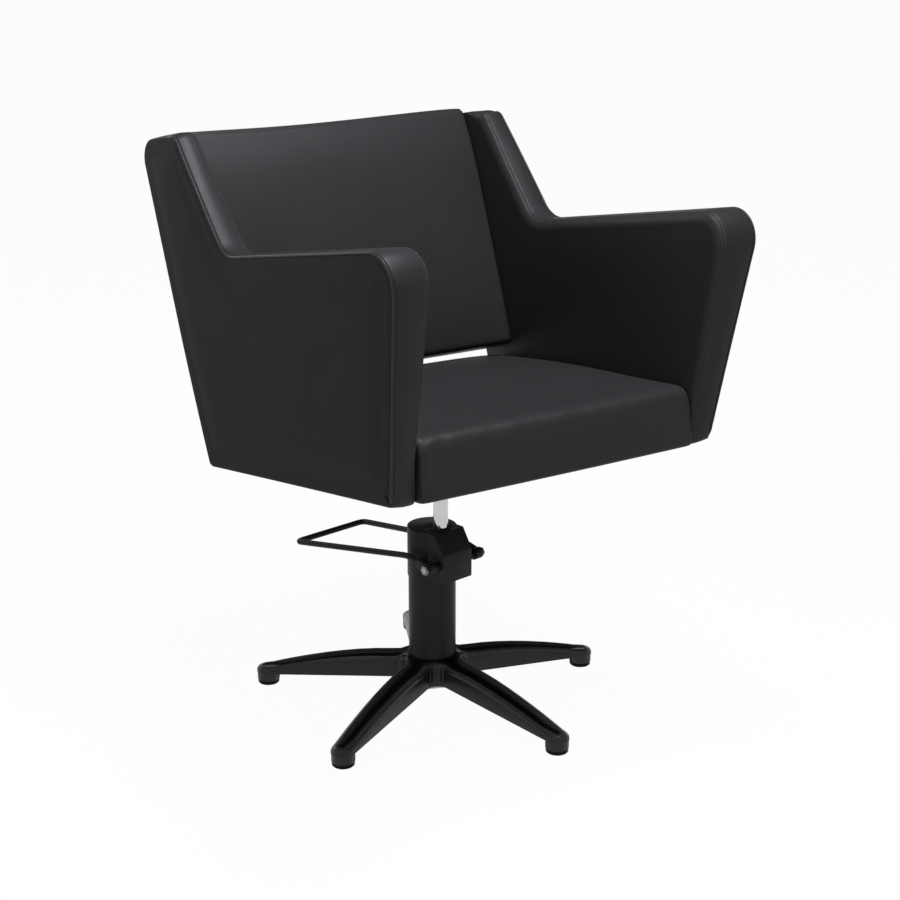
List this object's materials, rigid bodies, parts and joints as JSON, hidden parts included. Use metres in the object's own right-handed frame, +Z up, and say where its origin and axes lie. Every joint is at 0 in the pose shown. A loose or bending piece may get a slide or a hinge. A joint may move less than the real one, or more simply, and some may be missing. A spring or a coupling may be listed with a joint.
{
  "type": "styling chair",
  "caption": "Salon styling chair: padded tub seat with raked arms and wings, on a hydraulic pump with a foot pedal and a star base on glides.",
  "frame": {"origin": "on the floor under the pump column's axis, which is under the middle of the chair's bounding box", "axes": "+Z up, the sitter faces -Y, +X is the sitter's left"},
  "size_m": [0.6311, 0.751, 0.928],
  "materials": {
    "upholstery": "charcoal grained upholstery, satin",
    "base_enamel": "black enamel, satin gloss, on a cast aluminium base",
    "pump_enamel": "black enamel, satin gloss",
    "black_plastic": "moulded, matt",
    "chrome": "polished hard chrome",
    "seal_rubber": "matt",
    "plywood": "raw plywood, hidden by the upholstery",
    "zinc_steel": "zinc plated"
  },
  "bodies": {
    "base": {"star_base": "base_enamel", "foot_glide_1": "black_plastic", "foot_glide_2": "black_plastic", "foot_glide_3": "black_plastic", "foot_glide_4": "black_plastic", "foot_glide_5": "black_plastic", "column_tube": "pump_enamel", "pump_foot": "zinc_steel", "hub_washer": "zinc_steel", "hub_nut": "zinc_steel", "cylinder_tube": "zinc_steel", "pump_head": "pump_enamel", "rod_wiper": "seal_rubber"},
    "lift": {"piston_head": "zinc_steel", "piston_seal": "seal_rubber"},
    "seat": {"back_board": "plywood", "back_cushion": "upholstery", "back_rear_panel": "upholstery", "back_stud_left_lower": "zinc_steel", "back_stud_left_upper": "zinc_steel", "back_stud_right_lower": "zinc_steel", "back_stud_right_upper": "zinc_steel", "panel_core_left": "plywood", "panel_core_right": "plywood", "piston_rod": "chrome", "plate_bolt_left_front": "zinc_steel", "plate_bolt_left_rear": "zinc_steel", "plate_bolt_right_front": "zinc_steel", "plate_bolt_right_rear": "zinc_steel", "rail_bolt_left_front": "zinc_steel", "rail_bolt_left_rear": "zinc_steel", "rail_bolt_right_front": "zinc_steel", "rail_bolt_right_rear": "zinc_steel", "seat_cushion": "upholstery", "seat_frame": "plywood", "seat_plate": "pump_enamel", "side_panel_left": "upholstery", "side_panel_right": "upholstery"},
    "pedal": {"pedal_loop": "pump_enamel", "pedal_shaft": "zinc_steel", "pedal_crank_left": "pump_enamel", "pedal_crank_right": "pump_enamel", "shaft_spacer_left": "black_plastic", "shaft_spacer_right": "black_plastic", "shaft_nut_left": "zinc_steel", "shaft_nut_right": "zinc_steel", "pump_rocker": "zinc_steel"},
    "plunger": {"pump_plunger": "zinc_steel", "plunger_spring": "zinc_steel"}
  },
  "joints": [
    {"name": "seat_lift", "type": "slide", "parent": "base", "child": "lift", "axis": [0, 0, 1], "range_m": [0, 0.14]},
    {"name": "seat_swivel", "type": "hinge", "parent": "lift", "child": "seat", "pos_m": [0.00338, -0.02022, 0.11], "axis": [0, 0, 1], "continuous": true},
    {"name": "pedal_press", "type": "hinge", "parent": "base", "child": "pedal", "pos_m": [0.00825, -0.04931, 0.253], "axis": [-0.9863, -0.165, 0], "range_deg": [0, 22], "stiffness_Nm_per_rad": 3, "springref_deg": -34.38},
    {"name": "plunger_stroke", "type": "slide", "parent": "base", "child": "plunger", "axis": [0, 0, -1], "range_m": [0, 0.0043], "deforming": ["plunger_spring"]}
  ],
  "couplings": [
    {"joint": "plunger_stroke", "follows": "pedal_press", "m_per_rad": 0.0108}
  ]
}
